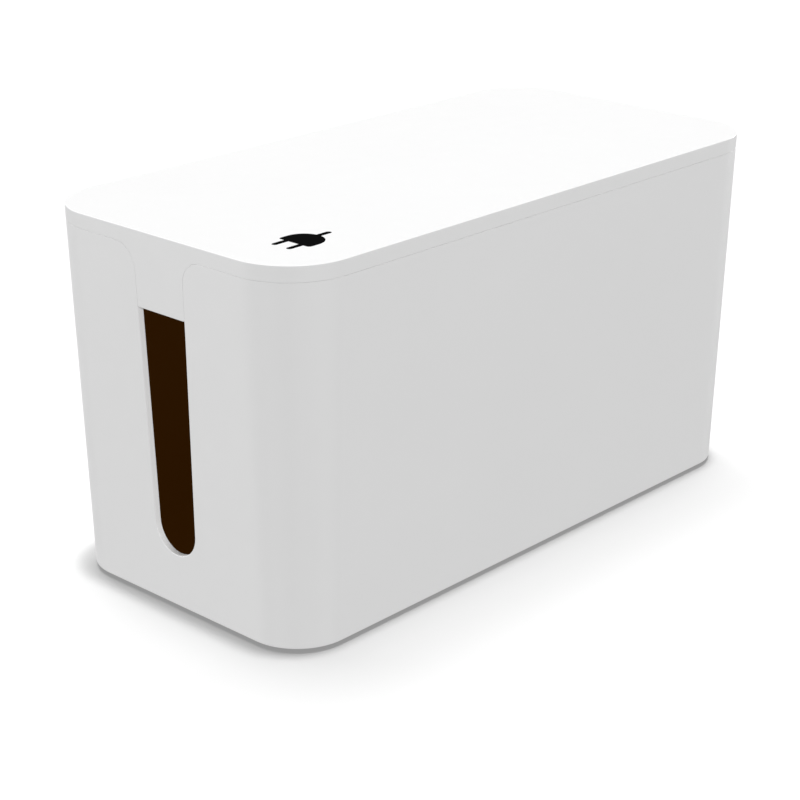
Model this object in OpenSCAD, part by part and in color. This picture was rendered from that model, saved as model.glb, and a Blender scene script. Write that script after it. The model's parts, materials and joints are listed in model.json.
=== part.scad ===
// Cable management box with a lift-off lid, holding a four-outlet power strip.
// Millimetres. +X runs along the box, +Z is up, the origin is the middle of the
// footprint on the surface that the rubber feet stand on.

/* [Box] */
// Length of the box at its top edge
box_l = 235; // [232:1:260]
// Width of the box at its top edge
box_w = 115; // [112:1:140]
// Height from the underside of the shell to the top of the lid
box_h = 124.3; // [115:0.1:150]
// Radius of the upright corners at the top edge
corner_r = 22; // [18:0.5:24]
// How far every wall leans in from the top edge to the bottom edge
draft_in = 3.4; // [2:0.1:4]
// Wall thickness of the shell and the lid skirt
wall_t = 2.2; // [1.8:0.1:2.4]
// Thickness of the floor
floor_t = 2.5; // [2.2:0.1:3]

/* [Lid] */
// Depth of the lid skirt, measured from the top face
lid_h = 5.2; // [4.5:0.1:6]
// Thickness of the lid's top panel
lid_t = 2; // [1.6:0.1:2.4]
// Distance from the top face to the end of each tongue
tongue_drop = 24.9; // [22:0.1:28]
// Gap between a tongue and its slot
tongue_gap = 0.25; // [0.15:0.05:0.4]

/* [Cable slots] */
// Half width of a slot where it flares out to the rim
slot_top_hw = 10.9; // [10:0.1:12]
// Radius of the round end of a slot
slot_r = 9.3; // [8.5:0.1:9.8]
// Height of the lowest point of a slot above the underside of the shell
slot_low = 18.3; // [16:0.1:30]
// Radius of the flare between a slot and the rim
flare_r = 8; // [7:0.5:9]

/* [Feet] */
// Radius of a rubber foot
foot_r = 6; // [5:0.5:7]
// Distance that a foot stands below the shell
foot_gap = 1.5; // [1:0.1:2]
// Distance of a foot's centre from the middle, along the box
foot_x = 92; // [85:1:94]
// Distance of a foot's centre from the middle, across the box
foot_y = 34; // [30:1:35]

/* [Power strip] */
// Distance from the middle of the box to the strip's near end
strip_start = -84; // [-86:1:-84]
// Height of the strip's housing
strip_h = 32; // [32:0.5:34]
// Distance between neighbouring outlets
outlet_pitch = 33; // [32.5:0.1:33]

/* [Hidden] */
$fn = 96;
eps = 0.01;

// levels of the box
z_shell = foot_gap;
z_top = z_shell + box_h;
z_seam = z_top - lid_h;
z_tongue = z_top - tongue_drop;
z_floor = z_shell + floor_t;
cx = box_l/2 - corner_r;
cy = box_w/2 - corner_r;
function wall_r(z) = corner_r - draft_in*(1 - (z - z_shell)/box_h);

// colours
white = [0.93, 0.93, 0.92];
dark = [0.12, 0.12, 0.12];
brass = [0.80, 0.64, 0.32];
steel = [0.62, 0.63, 0.65];

// ---------------------------------------------------------------- shared forms

// Block with round upright corners centred at (+-a, +-b); the corner radius
// runs from r0 at the bottom to r1 at the top, so the walls may lean.
module tub(a, b, r0, r1, h) {
    for (sx = [-1, 1], sy = [-1, 1])
        translate([sx*a, sy*b, 0]) cylinder(h = h, r1 = r0, r2 = r1);
    rotate([90, 0, 90]) linear_extrude(height = 2*a, center = true)
        polygon([[-(b + r0), 0], [b + r0, 0], [b + r1, h], [-(b + r1), h]]);
    rotate([90, 0, 0]) linear_extrude(height = 2*b, center = true)
        polygon([[-(a + r0), 0], [a + r0, 0], [a + r1, h], [-(a + r1), h]]);
}

// Slice of the box's outer form from z0 to z1, its sides moved in by inset.
module box_slice(z0, z1, inset) {
    translate([0, 0, z0]) tub(cx, cy, wall_r(z0) - inset, wall_r(z1) - inset, z1 - z0);
}

// Upright prism with a profile drawn in (y, z), running along X from x0 to x1.
module along_x(x0, x1) {
    translate([x0, 0, 0]) rotate([90, 0, 90]) linear_extrude(height = x1 - x0) children();
}

// Outline of a cable slot in (y, z): a round end, sides that open upwards, and
// a flare at the rim.
module slot_outline() {
    zc = z_shell + slot_low + slot_r;
    zf = z_seam - flare_r;
    translate([0, zc]) circle(r = slot_r);
    polygon([[-slot_r, zc], [slot_r, zc], [slot_top_hw, zf], [slot_top_hw, z_seam + 2],
             [-slot_top_hw, z_seam + 2], [-slot_top_hw, zf]]);
    for (s = [-1, 1]) difference() {
        translate([s > 0 ? slot_top_hw - 1 : -slot_top_hw - flare_r, zf])
            square([flare_r + 1, flare_r + 2]);
        translate([s*(slot_top_hw + flare_r), zf]) circle(r = flare_r);
    }
}

// Outline of a lid tongue in (y, z), a gap smaller than the slot.
module tongue_outline(g) {
    zc = z_shell + slot_low + slot_r;
    zf = z_seam - flare_r;
    hw = slot_r + (slot_top_hw - slot_r)*(z_tongue - zc)/(zf - zc);
    polygon([[-hw + g, z_tongue], [hw - g, z_tongue], [slot_top_hw - g, zf], [slot_top_hw - g, z_seam + 1],
             [-slot_top_hw + g, z_seam + 1], [-slot_top_hw + g, zf]]);
    for (s = [-1, 1]) difference() {
        translate([s > 0 ? slot_top_hw - 1 : -slot_top_hw - flare_r, zf])
            square([flare_r + 1, flare_r]);
        translate([s*(slot_top_hw + flare_r), zf]) circle(r = flare_r + g);
    }
}

// Slab that follows an end wall in (x, z), between two insets and two heights.
module end_slab(z0, z1, i0, i1, half_y, side) {
    rotate([90, 0, 0]) linear_extrude(height = 2*half_y, center = true)
        polygon([for (p = [[i0, z0], [i1, z0], [i1, z1], [i0, z1]])
                 [side*(cx + wall_r(p[1]) - p[0]), p[1]]]);
}

// ---------------------------------------------------------------- box

// L-shaped locating ribs on the floor, one at each corner of the strip.
module strip_ribs() {
    g = 0.6; t = 1.6; h = 5; leg = 16;
    x0 = strip_start - g; x1 = strip_start + strip_l + g; y1 = strip_w/2 + g;
    for (sx = [0, 1], sy = [-1, 1]) {
        translate([sx == 0 ? x0 - t : x1, sy > 0 ? y1 - leg : -y1, z_floor - eps]) cube([t, leg, h]);
        translate([sx == 0 ? x0 - t + 10 : x1 + t - leg - 10, sy > 0 ? y1 : -y1 - t, z_floor - eps]) cube([leg, t, h]);
    }
}

// Shell: drafted walls and floor in one moulding, a cable slot in each end wall,
// pockets for the feet and locating ribs for the strip.
module body_shell() color(white) {
    difference() {
        box_slice(z_shell, z_seam, 0);
        box_slice(z_floor, z_seam + 1, wall_t);
        along_x(-box_l/2 - 5, -cx) slot_outline();
        along_x(cx, box_l/2 + 5) slot_outline();
        for (sx = [-1, 1], sy = [-1, 1])
            translate([sx*foot_x, sy*foot_y, z_shell - 1]) cylinder(h = 2, r = foot_r + 0.15);
    }
    strip_ribs();
}

// Lid: top panel, skirt, locating lip inside the walls, and a tongue at each end
// that fills the top of the cable slot.
module lid() color(white) {
    lip_i = wall_t + 0.35; lip_t = 1.2; lip_z = z_seam - 5;
    difference() {
        box_slice(z_seam, z_top, 0);
        box_slice(z_seam - 1, z_top - lid_t, wall_t);
    }
    difference() {
        box_slice(lip_z, z_top - lid_t + eps, lip_i);
        box_slice(lip_z - 1, z_top - lid_t, lip_i + lip_t);
    }
    for (side = [-1, 1]) {
        intersection() {
            end_slab(z_tongue, z_seam + 0.5, 0, wall_t, slot_top_hw + flare_r + 2, side);
            along_x(side > 0 ? cx : -box_l/2 - 5, side > 0 ? box_l/2 + 5 : -cx) tongue_outline(tongue_gap);
        }
        end_slab(lip_z, z_seam + 0.5, wall_t - 0.2, lip_i + 0.2, slot_top_hw - 1.5, side);
        for (y = [-6.5, 6.5]) translate([0, y, 0]) rotate([90, 0, 0])
            linear_extrude(height = 1.4, center = true)
                polygon([[side*(cx + wall_r(z_top) - wall_t - 4), z_top - lid_t + eps],
                         [side*(cx + wall_r(z_top) - wall_t + 0.3), z_top - lid_t + eps],
                         [side*(cx + wall_r(z_tongue + 2) - wall_t + 0.3), z_tongue + 2],
                         [side*(cx + wall_r(z_tongue + 2) - wall_t - 1), z_tongue + 2],
                         [side*(cx + wall_r(z_tongue + 6) - wall_t - 4), z_tongue + 6]]);
    }
    // low stiffening ribs under the panel
    rib_t = 1.2; rib_h = 1.6;
    for (y = [-cy*0.6, 0, cy*0.6])
        translate([-cx + 6, y - rib_t/2, z_top - lid_t - rib_h]) cube([2*cx - 12, rib_t, rib_h + eps]);
    for (x = [-cx*0.75, -cx*0.375, 0, cx*0.375, cx*0.75])
        translate([x - rib_t/2, -cy*0.6, z_top - lid_t - rib_h]) cube([rib_t, 1.2*cy, rib_h + eps]);
}

// Four round rubber feet with a rounded lower edge, each sunk 1 mm into the floor.
module rubber_feet() color(dark)
    for (sx = [-1, 1], sy = [-1, 1]) translate([sx*foot_x, sy*foot_y, 0])
        rotate_extrude() {
            square([foot_r - 0.7, foot_gap + 1]);
            translate([0, 0.7]) square([foot_r, foot_gap + 0.3]);
            translate([foot_r - 0.7, 0.7]) circle(r = 0.7, $fn = 48);
        }

// ---------------------------------------------------------------- power strip

strip_l = 188;
strip_w = 50;
strip_r = 9;
split = 20.5;                     // height of the joint between base and cover
bar_w = 14;                       // height of the contact bars
sa = strip_l/2 - strip_r;
sb = strip_w/2 - strip_r;
st = 1.8;                         // strip wall
top_t = 2.2;                      // strip top
pad_h = 1;                        // how far the strip's own pads lift it
outlet_u = [for (i = [0:3]) 70 + i*outlet_pitch];
boss = [[8.5, 17.5], [8.5, -17.5], [94.5, 20], [94.5, -20], [179.5, 17.5], [179.5, -17.5]];
sw_u = 21;                        // rocker switch centre
pivot_w = strip_h - 0.8;          // rocker pivot height
br = [44, -10];                   // breaker axis
led = [44, 11];                   // indicator axis
gland_w = split;                  // gland axis height, level with the slot's round end

// Places children in the strip's frame: u along the strip, v across, w up.
module in_strip() translate([strip_start, 0, z_floor + pad_h]) children();

// Rounded block of the strip's plan, its sides moved in by inset.
module strip_block(w0, w1, i0, i1) {
    translate([strip_l/2, 0, w0]) tub(sa, sb, strip_r - i0, strip_r - i1, w1 - w0);
}

// Base: shallow tray with screw bosses, bar supports and board posts.
module strip_base() color(white) in_strip() difference() {
    union() {
        difference() {
            union() { strip_block(0, 1, 1, 0); strip_block(1, split, 0, 0); }
            strip_block(2, split + 1, st, st);
        }
        for (p = boss) translate([p[0], p[1], 0]) cylinder(h = split, r = 3.4);
        for (u = [55, 86.5, 119.5, 152.5, 180])
            translate([u - 0.75, -11, 1.5]) cube([1.5, 22, bar_w - 1.5]);
        for (u = [12, 46], v = [-14, 14]) translate([u, v, 1.5]) cylinder(h = 3, r = 2);
    }
    for (p = boss) translate([p[0], p[1], -1]) {
        cylinder(h = split + 2, r = 1.7);
        cylinder(h = 4, r = 3);
    }
    for (u = [22, 166], v = [-18, 18]) translate([u, v, -1]) cylinder(h = 1.5, r = 4.1);
    translate([-1, 0, gland_w]) rotate([0, 90, 0]) cylinder(h = 4, r = 6.1);
}

// Cover: top half with four raised outlet faces, the switch window and holes
// for the breaker and the indicator.
module strip_cover() color(white) in_strip() difference() {
    union() {
        difference() {
            union() { strip_block(split, strip_h - 1.4, 0, 0); strip_block(strip_h - 1.4, strip_h, 0, 1.4); }
            strip_block(split - 1, strip_h - top_t, st, st);
        }
        for (u = outlet_u) translate([u, 0, strip_h - 1]) tub(14.5 - 6, 17.5 - 6, 6, 5.6, 1.8);
        for (p = boss) translate([p[0], p[1], split]) cylinder(h = strip_h - 1 - split, r = 3.4);
    }
    for (p = boss) translate([p[0], p[1], split - 1]) cylinder(h = 9, r = 1.45);
    for (u = outlet_u) translate([u, 0, strip_h - top_t - 1]) {
        translate([-4.5 - 3.3, 6.35 - 1, 0]) cube([6.6, 2, 6]);
        translate([-4.5 - 4.1, -6.35 - 1, 0]) cube([8.2, 2, 6]);
        translate([7.4, 0, 0]) cylinder(h = 6, r = 2.6);
        translate([4.8, -2.6, 0]) cube([2.6, 5.2, 6]);
    }
    translate([sw_u - 11.1, -7.6, strip_h - top_t - 1]) cube([22.2, 15.2, 6]);
    translate([br[0], br[1], strip_h - top_t - 1]) cylinder(h = 6, r = 5.2);
    translate([led[0], led[1], strip_h - top_t - 1]) cylinder(h = 6, r = 2.5);
    translate([-1, 0, gland_w]) rotate([0, 90, 0]) cylinder(h = 4, r = 6.1);
}

// Four thin rubber pads under the strip.
module strip_pads() color(dark) in_strip()
    for (u = [22, 166], v = [-18, 18]) translate([u, v, -pad_h]) cylinder(h = pad_h + 0.5, r = 4);

// Six self-tapping screws driven up through the base into the cover.
module strip_screws() color(steel) in_strip()
    for (p = boss) translate([p[0], p[1], 0]) difference() {
        union() {
            translate([0, 0, 0.8]) cylinder(h = 2.2, r = 2.7);
            translate([0, 0, 2.9]) cylinder(h = 23.5, r = 1.4);
            translate([0, 0, 26.4]) cylinder(h = 1.6, r1 = 1.4, r2 = 0.3);
        }
        for (a = [0, 90]) rotate(a) translate([-1.7, -0.35, 0]) cube([3.4, 0.7, 1.8]);
    }

// Rubber grommet held between base and cover, its bore open for a cord.
module cord_grommet() color(dark) in_strip()
    translate([0, 0, gland_w]) rotate([0, 90, 0]) difference() {
        union() {
            translate([0, 0, -2.6]) cylinder(h = 1, r1 = 6.6, r2 = 7.6);
            translate([0, 0, -1.6]) cylinder(h = 1.6, r = 7.6);
            translate([0, 0, -0.1]) cylinder(h = st + 0.2, r = 6);
            translate([0, 0, st]) cylinder(h = 1.6, r = 7.4);
        }
        translate([0, 0, -5]) cylinder(h = 12, r = 3.6);
    }

// Contact bar: a flat strip along the outlets with a pair of spring leaves for
// each one.
module contact_bar(v, dv, len, off, u0, u1, v0, v1) in_strip() {
    w = bar_w;
    translate([u0, v0, w]) cube([u1 - u0, v1 - v0, 0.8]);
    for (u = outlet_u, s = [-1, 1]) translate([u + off - len/2, v + (s > 0 ? dv : -dv - 0.6), w]) {
        cube([len, 0.6, 12.4]);
        translate([0, s > 0 ? 0 : 0.6, 12.4]) rotate([0, 90, 0]) linear_extrude(height = len)
            polygon([[0, 0], [0, s*0.6], [-1.6, s*1.1], [-1.6, s*0.5]]);
    }
}
module live_bar() color(brass) contact_bar(6.35, 0.76, 6.4, -4.5, 52, 182, 4.8, 8.6);
module neutral_bar() color(brass) contact_bar(-6.35, 0.76, 8, -4.5, 52, 182, -8.6, -4.8);
module earth_bar() color(brass) contact_bar(0, 2.4, 5, 7.4, 52, 182, -3.1, 3.1);

// Switch housing: bezel and a box below it with bearing holes for the rocker.
module switch_housing() color(dark) in_strip() translate([sw_u, 0, 0]) difference() {
    union() {
        translate([-10.9, -7.4, 16]) cube([21.8, 14.8, strip_h - 16 + 0.5]);
        translate([0, 0, strip_h]) tub(13 - 2, 9.3 - 2, 2, 1.6, 1.4);
    }
    translate([-9.2, -6.2, 18]) cube([18.4, 12.4, strip_h]);
    translate([0, 0, pivot_w]) rotate([90, 0, 0]) cylinder(h = 14.8, r = 1.26, center = true);
}

// Rocker: a shallow V on top, a round belly and two pivot stubs, drawn tilted
// to its off position.
module switch_rocker() color([0.75, 0.08, 0.06]) in_strip() translate([sw_u, 0, pivot_w]) rotate([0, rocker_tilt, 0]) {
    rotate([90, 0, 0]) linear_extrude(height = 11.9, center = true)
        polygon([[-8.2, 4], [-4.2, 2.85], [0, 2.3], [4.2, 2.85], [8.2, 4], [7.6, -1.2], [5, -4.2], [1.2, -6.4], [-1.2, -6.4], [-5, -4.2], [-7.6, -1.2]]);
    rotate([90, 0, 0]) cylinder(h = 14.2, r = 1.2, center = true);
}
rocker_tilt = 9;

// Three flat terminals under the switch.
module switch_terminals() color(brass) in_strip()
    for (u = [14, 21, 28]) translate([u - 0.4, -2.4, 11.5]) cube([0.8, 4.8, 4.5]);

// Breaker: a box under the cover with a threaded neck, the button's bore and
// below it a wider chamber whose top stops the button's collar.
module breaker_body() color(dark) in_strip() translate([br[0], br[1], 0]) difference() {
    union() {
        translate([-6.5, -10, 15]) cube([13, 20, strip_h - top_t - 15]);
        cylinder_at(strip_h - top_t - 1, strip_h + 2.6, 5);
    }
    cylinder_at(18, strip_h + 5, 3.1);
    cylinder_at(18, 26, 4.4);
}
module cylinder_at(w0, w1, r) translate([0, 0, w0]) cylinder(h = w1 - w0, r = r);

// Hexagonal nut that clamps the breaker's neck to the cover.
module breaker_nut() color(white) in_strip() translate([br[0], br[1], strip_h]) difference() {
    cylinder(h = 2, r = 6.9, $fn = 6);
    translate([0, 0, -1]) cylinder(h = 4, r = 5.06);
}

// Reset button: pops up when the breaker trips.
module reset_button() color([0.09, 0.09, 0.09]) in_strip() translate([br[0], br[1], 0]) {
    cylinder_at(20.5, strip_h + 3.3, 2.8);
    cylinder_at(20.5, 23, 4);
    translate([0, 0, strip_h + 3.3]) cylinder(h = 0.5, r1 = 2.8, r2 = 2.3);
}

// Two flat terminals under the breaker.
module breaker_terminals() color(brass) in_strip()
    for (v = [-15, -5]) translate([br[0] - 2.4, v - 0.4, 11]) cube([4.8, 0.8, 4]);

// Surge board: circuit board on four posts.
module surge_board() color([0.10, 0.36, 0.20]) in_strip() difference() {
    translate([8, -17, 4.5]) cube([42, 34, 1.6]);
    for (p = [[8.5, 17.5], [8.5, -17.5]]) translate([p[0], p[1], 4]) cylinder(h = 3, r = 4.2);
}

// Three disc varistors lying on the board.
module varistors() color([0.16, 0.30, 0.62]) in_strip()
    for (p = [[19, -8], [19, 8], [34, 8.5]]) translate([p[0], p[1], 6.1]) {
        cylinder(h = 0.8, r1 = 6.2, r2 = 6.8);
        translate([0, 0, 0.8]) cylinder(h = 3, r = 6.8);
        translate([0, 0, 3.8]) cylinder(h = 0.8, r1 = 6.8, r2 = 6.2);
    }

// Film capacitor beside the varistors.
module filter_capacitor() color([0.80, 0.62, 0.16]) in_strip() translate([28, -9.5, 6.1]) {
    cube([13, 6, 8]);
}

// Thermal fuse lying on the board.
module thermal_fuse() color([0.85, 0.85, 0.82]) in_strip()
    translate([46, 0, 7.8]) {
        translate([0, -12, 0]) rotate([-90, 0, 0]) cylinder(h = 10, r = 1.7);
        translate([0, -15, 0]) rotate([-90, 0, 0]) cylinder(h = 16, r = 0.4);
        for (v = [-14.6, 0.6]) translate([0, v, -1.7]) cylinder(h = 1.7, r = 0.4);
    }

// Small light-emitting chip under the indicator lens.
module indicator_chip() color([0.9, 0.95, 0.9]) in_strip()
    translate([led[0] - 1.6, led[1] - 1.4, 6.1]) cube([3.2, 2.8, 1.5]);

// Indicator lens: a domed cap on a light rod that reaches down to the chip.
module indicator_lens() color([0.25, 0.8, 0.35]) in_strip() translate([led[0], led[1], 0]) {
    cylinder_at(8, strip_h - top_t - 0.2, 1.5);
    cylinder_at(strip_h - top_t - 1.4, strip_h - top_t, 3.4);
    cylinder_at(strip_h - top_t - 0.5, strip_h + 0.3, 2.4);
    translate([0, 0, strip_h + 0.3]) cylinder(h = 0.7, r1 = 2.4, r2 = 1.4);
}

// ---------------------------------------------------------------- wires

wire_r = 1.1;
function norm1(a) = a/norm(a);
function lerp(a, b, t) = a + (b - a)*t;
// Catmull-Rom point between p1 and p2
function cr(p0, p1, p2, p3, t) = 0.5*((2*p1) + (p2 - p0)*t + (2*p0 - 5*p1 + 4*p2 - p3)*t*t + (3*p1 - p0 - 3*p2 + p3)*t*t*t);
function smooth(p, k) = [for (i = [0:len(p) - 2], j = [0:k - 1])
    cr(p[max(i - 1, 0)], p[i], p[i + 1], p[min(i + 2, len(p) - 1)], j/k), p[len(p) - 1]];
function side_of(t) = norm1(cross(t, abs(t[2]) < 0.9 ? [0, 0, 1] : [1, 0, 0]));

// Round wire swept along a route of points.
module wire(route) {
    n = 8;
    p = smooth(route, 4);
    m = len(p);
    tan = [for (i = [0:m - 1]) norm1(p[min(i + 1, m - 1)] - p[max(i - 1, 0)])];
    pts = [for (i = [0:m - 1]) let (a = side_of(tan[i]), b = cross(tan[i], a))
           for (k = [0:n - 1]) p[i] + wire_r*(cos(360*k/n)*a + sin(360*k/n)*b)];
    faces = concat(
        [[for (k = [0:n - 1]) k]],
        [for (i = [0:m - 2], k = [0:n - 1]) [i*n + k, (i + 1)*n + k, (i + 1)*n + (k + 1)%n, i*n + (k + 1)%n]],
        [[for (k = [n - 1:-1:0]) (m - 1)*n + k]]);
    polyhedron(points = pts, faces = faces, convexity = 6);
}

// Live: gland to switch, switch to breaker, breaker to the live bar.
module black_wires() color([0.07, 0.07, 0.07]) in_strip() {
    wire([[4, 0, 22], [6.2, 0, 21], [7.6, 0, 17.6], [8.6, 0, 14.4], [11, 0, 13], [13.6, 0, 13]]);
    wire([[21.4, 0, 13], [24, 0.6, 13], [27.6, 4.7, 12.8], [33, 4.6, 12.8], [40, 2.6, 12.8], [44, -1.2, 13], [44, -4.6, 13]]);
    wire([[44, -15.4, 13], [44, -18, 13], [47, -20.4, 12.6], [51, -18, 12], [52.4, -12, 11.4], [52.4, -4, 11], [52.6, 3, 11], [53.1, 6.4, 12.2], [53.1, 6.7, 14]]);
}
// Neutral: gland to the neutral bar.
module white_wire() color([0.92, 0.92, 0.9]) in_strip()
    wire([[4, -1.3, 19.7], [6, -2.6, 18.8], [7.2, -5.6, 16], [9.4, -9.2, 13.6], [15, -11.4, 12.9], [24, -11.8, 12.9], [36, -11.8, 12.9], [48, -10.8, 12.9], [51.8, -9.8, 14.2], [53.8, -8, 16.8], [56.2, -6.8, 17.2], [56.5, -6.7, 14.8]]);
// Earth: gland to the earth bar.
module green_wire() color([0.12, 0.5, 0.2]) in_strip()
    wire([[4, 1.3, 19.7], [6, 2.6, 18.8], [7.2, 5.6, 16], [9.4, 9.2, 13.6], [15, 11.4, 12.9], [24, 12.8, 13], [34, 14.4, 13.2], [41, 15, 13.6], [47, 13.2, 14.6], [51, 8.4, 16.2], [53.6, 2.6, 17.6], [56.2, 0.2, 17.4], [56.5, 0, 14.8]]);

// ---------------------------------------------------------------- nodes

body_shell();
lid();
rubber_feet();
strip_base();
strip_cover();
strip_pads();
strip_screws();
cord_grommet();
live_bar();
neutral_bar();
earth_bar();
switch_housing();
switch_rocker();
switch_terminals();
breaker_body();
breaker_nut();
reset_button();
breaker_terminals();
surge_board();
varistors();
filter_capacitor();
thermal_fuse();
indicator_chip();
indicator_lens();
black_wires();
white_wire();
green_wire();
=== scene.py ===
import bpy, bmesh, json, math
from mathutils import Vector, Matrix
from mathutils.geometry import delaunay_2d_cdt

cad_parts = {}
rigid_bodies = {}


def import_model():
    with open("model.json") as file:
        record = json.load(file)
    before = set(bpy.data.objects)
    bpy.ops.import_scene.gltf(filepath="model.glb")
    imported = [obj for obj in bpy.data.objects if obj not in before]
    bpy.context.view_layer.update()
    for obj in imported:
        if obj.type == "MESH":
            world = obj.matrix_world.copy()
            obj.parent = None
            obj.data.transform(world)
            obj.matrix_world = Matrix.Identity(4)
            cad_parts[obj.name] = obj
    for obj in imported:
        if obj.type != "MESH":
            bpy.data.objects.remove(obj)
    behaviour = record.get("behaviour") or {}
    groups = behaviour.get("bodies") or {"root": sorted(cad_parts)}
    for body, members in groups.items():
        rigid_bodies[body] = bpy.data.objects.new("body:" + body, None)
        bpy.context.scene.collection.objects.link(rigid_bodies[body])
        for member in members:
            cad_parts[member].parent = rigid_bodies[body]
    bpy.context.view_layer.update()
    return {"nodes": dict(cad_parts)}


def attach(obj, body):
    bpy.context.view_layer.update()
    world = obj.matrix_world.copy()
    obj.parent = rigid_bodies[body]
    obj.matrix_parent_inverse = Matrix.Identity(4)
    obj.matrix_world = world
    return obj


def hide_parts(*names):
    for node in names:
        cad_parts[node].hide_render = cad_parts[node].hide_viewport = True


for _o in list(bpy.data.objects):
    bpy.data.objects.remove(_o)
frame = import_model()

MM = 0.001
RAD = math.radians

# ------------------------------------------------------------------ dimensions, in mm

L, W, H, FOOT = 235.0, 115.0, 124.3, 1.5
RT, DRAFT, WALL, FLOOR = 22.0, 3.4, 2.2, 2.5
LIDH, LIDT, DROP = 5.2, 2.0, 24.9
SHW, SR, SLOW, FR = 10.9, 9.3, 18.3, 8.0
ZS = FOOT
ZT = ZS + H - 0.002
ZSEAM = ZT - LIDH
ZTONG = ZT - DROP
ZFL = ZS + FLOOR
CX, CY = L / 2 - RT, W / 2 - RT
ZC = ZS + SLOW + SR
ZF = ZSEAM - FR
FOOT_X, FOOT_Y, FOOT_R = 92.0, 34.0, 6.0

# the strip's own frame
SX, SZ = -84.0, 5.0
SL, SW, SRAD, SH, SPLIT, ST, TOPT = 188.0, 50.0, 9.0, 32.0, 20.5, 1.8, 2.2
OUT_U = [70.0 + 33.0 * i for i in range(4)]


def wr(z):
    return RT - DRAFT * (1 - (z - ZS) / H)


def lerp(a, b, t):
    return a + (b - a) * t


def smooth(t):
    t = min(1.0, max(0.0, t))
    return t * t * (3 - 2 * t)


# ------------------------------------------------------------------ mesh building


def inside(x, y, loop):
    hit = False
    for (x0, y0), (x1, y1) in zip(loop, loop[1:] + loop[:1]):
        if (y0 > y) != (y1 > y) and x < x0 + (y - y0) * (x1 - x0) / (y1 - y0):
            hit = not hit
    return hit


class Mesh:
    """Points in mm and faces with a material index, made into an object at the end."""

    def __init__(self):
        self.v, self.f, self.m = [], [], []

    def add(self, pts):
        i = len(self.v)
        self.v += [tuple(p) for p in pts]
        return list(range(i, i + len(pts)))

    def face(self, ids, mat=0):
        self.f.append(tuple(ids))
        self.m.append(mat)

    def strip(self, a, b, closed=False, mat=0):
        n = len(a)
        for i in range(n if closed else n - 1):
            j = (i + 1) % n
            self.face((a[i], a[j], b[j], b[i]), mat)

    def rows(self, rows, closed=False, mat=0):
        for a, b in zip(rows, rows[1:]):
            self.strip(a, b, closed, mat)

    def cap(self, loops, mat=0):
        """Flat face inside the first loop and outside the others."""
        # straight runs are bowed a little while the triangles are chosen, so no point on them is passed over
        loops_ = [[(x * (1 - 1e-6 * y * y), y * (1 - 1e-6 * x * x)) for x, y, _ in (self.v[i] for i in lp)] for lp in loops]
        flat, co, edges = [], [], []
        for lp, pl in zip(loops, loops_):
            k, n = len(flat), len(lp)
            flat += lp
            co += [Vector(p) for p in pl]
            edges += [(k + i, k + (i + 1) % n) for i in range(n)]
        out = delaunay_2d_cdt(co, edges, [], 0, 1e-7)
        for t in out[2]:
            x = sum(out[0][k][0] for k in t) / len(t)
            y = sum(out[0][k][1] for k in t) / len(t)
            if inside(x, y, loops_[0]) and not any(inside(x, y, q) for q in loops_[1:]):
                self.face([flat[out[3][k][0]] for k in t], mat)

    def ngon(self, loop, mat=0):
        self.face(loop, mat)

    def mirror(self, axis):
        n = len(self.v)
        k = "xyz".index(axis)
        add = []
        for p in self.v:
            q = list(p)
            q[k] = -q[k]
            add.append(tuple(q))
        self.v += add
        nf = len(self.f)
        for i in range(nf):
            self.face([j + n for j in reversed(self.f[i])], self.m[i])

    def bm(self, weld=1e-4):
        b = bmesh.new()
        vs = [b.verts.new(Vector(p) * MM) for p in self.v]
        for ids, m in zip(self.f, self.m):
            if len(set(ids)) < 3:
                continue
            try:
                f = b.faces.new([vs[i] for i in ids])
            except ValueError:
                continue
            f.material_index = m
        bmesh.ops.remove_doubles(b, verts=b.verts, dist=weld * MM)
        bmesh.ops.dissolve_degenerate(b, edges=b.edges, dist=1e-9)
        loose = [v for v in b.verts if not v.link_faces]
        if loose:
            bmesh.ops.delete(b, geom=loose, context="VERTS")
        bmesh.ops.recalc_face_normals(b, faces=b.faces)
        return b


def to_object(name, b, mats, angle=32.0, weighted=True):
    me = bpy.data.meshes.new(name)
    b.to_mesh(me)
    b.free()
    for m in mats:
        me.materials.append(m)
    me.shade_smooth()
    me.set_sharp_from_angle(angle=RAD(angle))
    o = bpy.data.objects.new(name, me)
    bpy.context.scene.collection.objects.link(o)
    if weighted:
        w = o.modifiers.new("even normals", "WEIGHTED_NORMAL")
        w.keep_sharp = True
        w.weight = 100
    return o


def arc(n, a0=0.0, a1=90.0):
    return [RAD(lerp(a0, a1, i / n)) for i in range(n + 1)]


def rrect(a, b, r, z, nc=10, cxy=(0.0, 0.0)):
    """Loop round a rectangle with corner centres at (+-a, +-b) and corner radius r, counter-clockwise."""
    out = []
    for sx, sy, a0 in ((1, 1, 0), (-1, 1, 90), (-1, -1, 180), (1, -1, 270)):
        for t in arc(nc, a0, a0 + 90):
            out.append((cxy[0] + sx * a + r * math.cos(t), cxy[1] + sy * b + r * math.sin(t), z))
    return out


def circle(cx, cy, r, z, n=48, a0=0.0):
    return [(cx + r * math.cos(a0 + 2 * math.pi * i / n), cy + r * math.sin(a0 + 2 * math.pi * i / n), z) for i in range(n)]


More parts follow.
